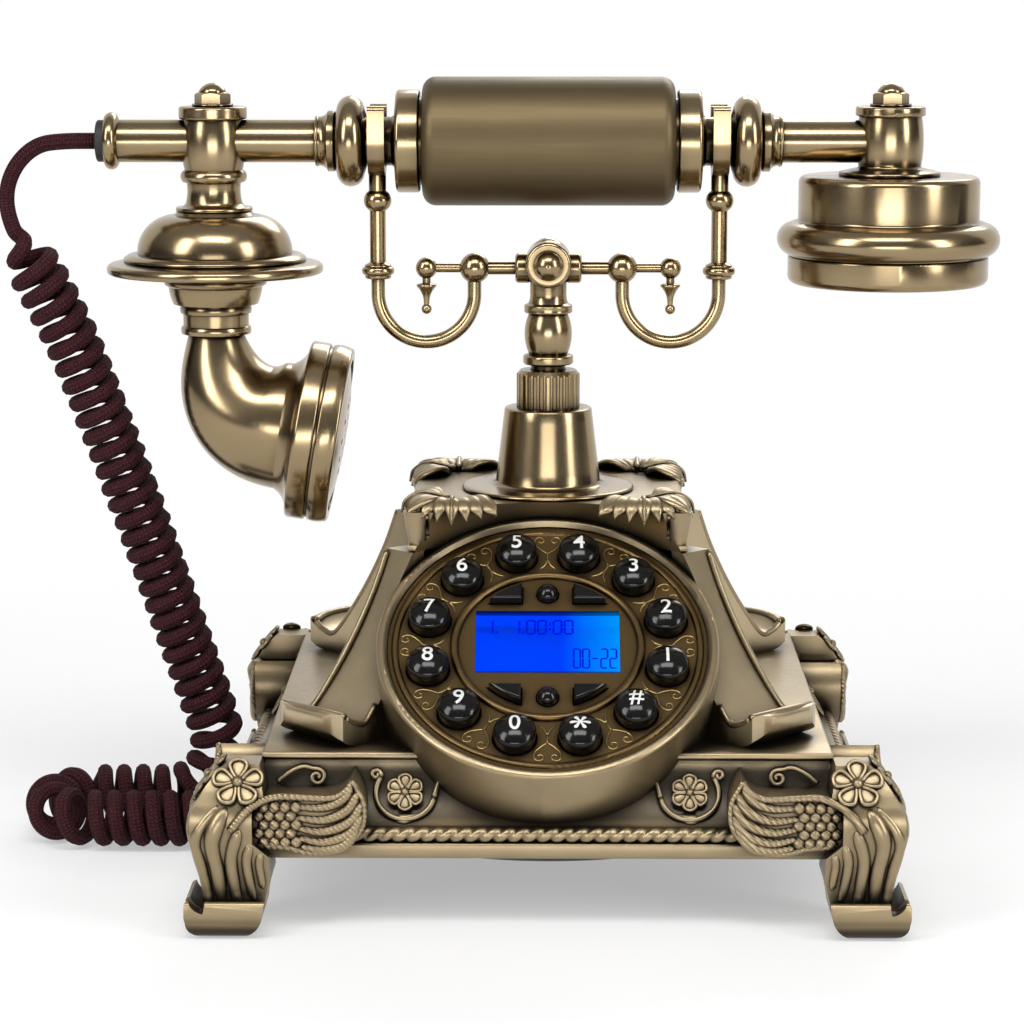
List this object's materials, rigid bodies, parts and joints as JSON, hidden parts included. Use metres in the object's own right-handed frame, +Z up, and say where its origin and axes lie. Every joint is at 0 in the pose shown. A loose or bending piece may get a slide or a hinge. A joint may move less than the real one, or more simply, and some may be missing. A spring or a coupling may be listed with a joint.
{
  "type": "cradle telephone",
  "caption": "Antique-brass cradle telephone: tube handset on a forked hook, round push-key dial with display, footed ornate base and curly cord.",
  "frame": {"origin": "on the table under the middle of the stem", "axes": "+Z up, +X to the right of a person at the dial, the dial faces -Y"},
  "size_m": [0.2888, 0.195, 0.2264],
  "materials": {
    "antique_brass": "polished antique brass plate",
    "brushed_grip": "brushed lengthwise",
    "bronzed_casting": "cast resin with rubbed antique bronze paint",
    "dial_bronze": "dark bronze lacquer with fine engraving",
    "key_black": "moulded, glossy",
    "black_plastic": "moulded",
    "black_rubber": "matt",
    "grey_rubber": "matt",
    "display_glass": "clear pane",
    "display_blue": "backlit liquid crystal",
    "circuit_board": "green lacquer",
    "screw_steel": "plain",
    "cord_cover": "braided cotton cover",
    "clear_plug": "clear moulding"
  },
  "bodies": {
    "base": {"cone_sleeve": "antique_brass", "guide_sleeve": "antique_brass", "top_platform": "bronzed_casting", "base_housing": "bronzed_casting", "plinth": "bronzed_casting", "scroll_brackets": "bronzed_casting", "feet": "bronzed_casting", "bottom_cover": "black_plastic", "bottom_screws": "screw_steel", "dial_drum": "bronzed_casting", "dial_plate": "dial_bronze", "lcd_window": "display_glass", "lcd_module": "display_blue", "keypad_mat": "grey_rubber", "keypad_board": "circuit_board", "main_board": "circuit_board", "ringer_speaker": "black_plastic", "hook_switch": "black_plastic", "line_jack": "black_plastic", "handset_jack": "black_plastic", "curly_cord": "cord_cover", "cord_plug": "clear_plug"},
    "handset": {"handset_tube": "antique_brass", "cord_grommet": "black_rubber", "grip": "brushed_grip", "grip_collars": "antique_brass", "bosses": "antique_brass", "cap_nuts": "antique_brass", "mouthpiece_bell": "antique_brass", "mouthpiece_horn": "antique_brass", "mouthpiece_ring": "antique_brass", "mouthpiece_cap": "antique_brass", "microphone": "black_plastic", "earpiece_shell": "antique_brass", "earpiece_cap": "antique_brass", "receiver": "black_plastic"},
    "cradle": {"stem_post": "antique_brass", "hub_cap": "antique_brass", "cross_bar": "antique_brass", "hooks": "antique_brass", "forks": "antique_brass", "finials": "antique_brass"},
    "key_1": {"key_1": "key_black"},
    "key_2": {"key_2": "key_black"},
    "key_3": {"key_3": "key_black"},
    "key_4": {"key_4": "key_black"},
    "key_5": {"key_5": "key_black"},
    "key_6": {"key_6": "key_black"},
    "key_7": {"key_7": "key_black"},
    "key_8": {"key_8": "key_black"},
    "key_9": {"key_9": "key_black"},
    "key_0": {"key_0": "key_black"},
    "key_star": {"key_star": "key_black"},
    "key_hash": {"key_hash": "key_black"},
    "key_upper_left": {"key_upper_left": "key_black"},
    "key_upper_middle": {"key_upper_middle": "key_black"},
    "key_upper_right": {"key_upper_right": "key_black"},
    "key_lower_left": {"key_lower_left": "key_black"},
    "key_lower_middle": {"key_lower_middle": "key_black"},
    "key_lower_right": {"key_lower_right": "key_black"}
  },
  "joints": [
    {"name": "handset_lift", "type": "slide", "parent": "base", "child": "handset", "axis": [0, 0, 1], "range_m": [0, 0.08]},
    {"name": "cradle_rise", "type": "slide", "parent": "base", "child": "cradle", "axis": [0, 0, 1], "range_m": [0, 0.004]},
    {"name": "key_1_press", "type": "slide", "parent": "base", "child": "key_1", "axis": [0, 0.6018, -0.7986], "range_m": [0, 0.0015], "stiffness_N_per_m": 200},
    {"name": "key_2_press", "type": "slide", "parent": "base", "child": "key_2", "axis": [0, 0.6018, -0.7986], "range_m": [0, 0.0015], "stiffness_N_per_m": 200},
    {"name": "key_3_press", "type": "slide", "parent": "base", "child": "key_3", "axis": [0, 0.6018, -0.7986], "range_m": [0, 0.0015], "stiffness_N_per_m": 200},
    {"name": "key_4_press", "type": "slide", "parent": "base", "child": "key_4", "axis": [0, 0.6018, -0.7986], "range_m": [0, 0.0015], "stiffness_N_per_m": 200},
    {"name": "key_5_press", "type": "slide", "parent": "base", "child": "key_5", "axis": [0, 0.6018, -0.7986], "range_m": [0, 0.0015], "stiffness_N_per_m": 200},
    {"name": "key_6_press", "type": "slide", "parent": "base", "child": "key_6", "axis": [0, 0.6018, -0.7986], "range_m": [0, 0.0015], "stiffness_N_per_m": 200},
    {"name": "key_7_press", "type": "slide", "parent": "base", "child": "key_7", "axis": [0, 0.6018, -0.7986], "range_m": [0, 0.0015], "stiffness_N_per_m": 200},
    {"name": "key_8_press", "type": "slide", "parent": "base", "child": "key_8", "axis": [0, 0.6018, -0.7986], "range_m": [0, 0.0015], "stiffness_N_per_m": 200},
    {"name": "key_9_press", "type": "slide", "parent": "base", "child": "key_9", "axis": [0, 0.6018, -0.7986], "range_m": [0, 0.0015], "stiffness_N_per_m": 200},
    {"name": "key_0_press", "type": "slide", "parent": "base", "child": "key_0", "axis": [0, 0.6018, -0.7986], "range_m": [0, 0.0015], "stiffness_N_per_m": 200},
    {"name": "key_star_press", "type": "slide", "parent": "base", "child": "key_star", "axis": [0, 0.6018, -0.7986], "range_m": [0, 0.0015], "stiffness_N_per_m": 200},
    {"name": "key_hash_press", "type": "slide", "parent": "base", "child": "key_hash", "axis": [0, 0.6018, -0.7986], "range_m": [0, 0.0015], "stiffness_N_per_m": 200},
    {"name": "key_upper_left_press", "type": "slide", "parent": "base", "child": "key_upper_left", "axis": [0, 0.6018, -0.7986], "range_m": [0, 0.0015], "stiffness_N_per_m": 200},
    {"name": "key_upper_middle_press", "type": "slide", "parent": "base", "child": "key_upper_middle", "axis": [0, 0.6018, -0.7986], "range_m": [0, 0.0015], "stiffness_N_per_m": 200},
    {"name": "key_upper_right_press", "type": "slide", "parent": "base", "child": "key_upper_right", "axis": [0, 0.6018, -0.7986], "range_m": [0, 0.0015], "stiffness_N_per_m": 200},
    {"name": "key_lower_left_press", "type": "slide", "parent": "base", "child": "key_lower_left", "axis": [0, 0.6018, -0.7986], "range_m": [0, 0.0015], "stiffness_N_per_m": 200},
    {"name": "key_lower_middle_press", "type": "slide", "parent": "base", "child": "key_lower_middle", "axis": [0, 0.6018, -0.7986], "range_m": [0, 0.0015], "stiffness_N_per_m": 200},
    {"name": "key_lower_right_press", "type": "slide", "parent": "base", "child": "key_lower_right", "axis": [0, 0.6018, -0.7986], "range_m": [0, 0.0015], "stiffness_N_per_m": 200}
  ],
  "couplings": [
    {"joint": "cradle_rise", "follows": "handset_lift", "ratio": 0.05}
  ]
}
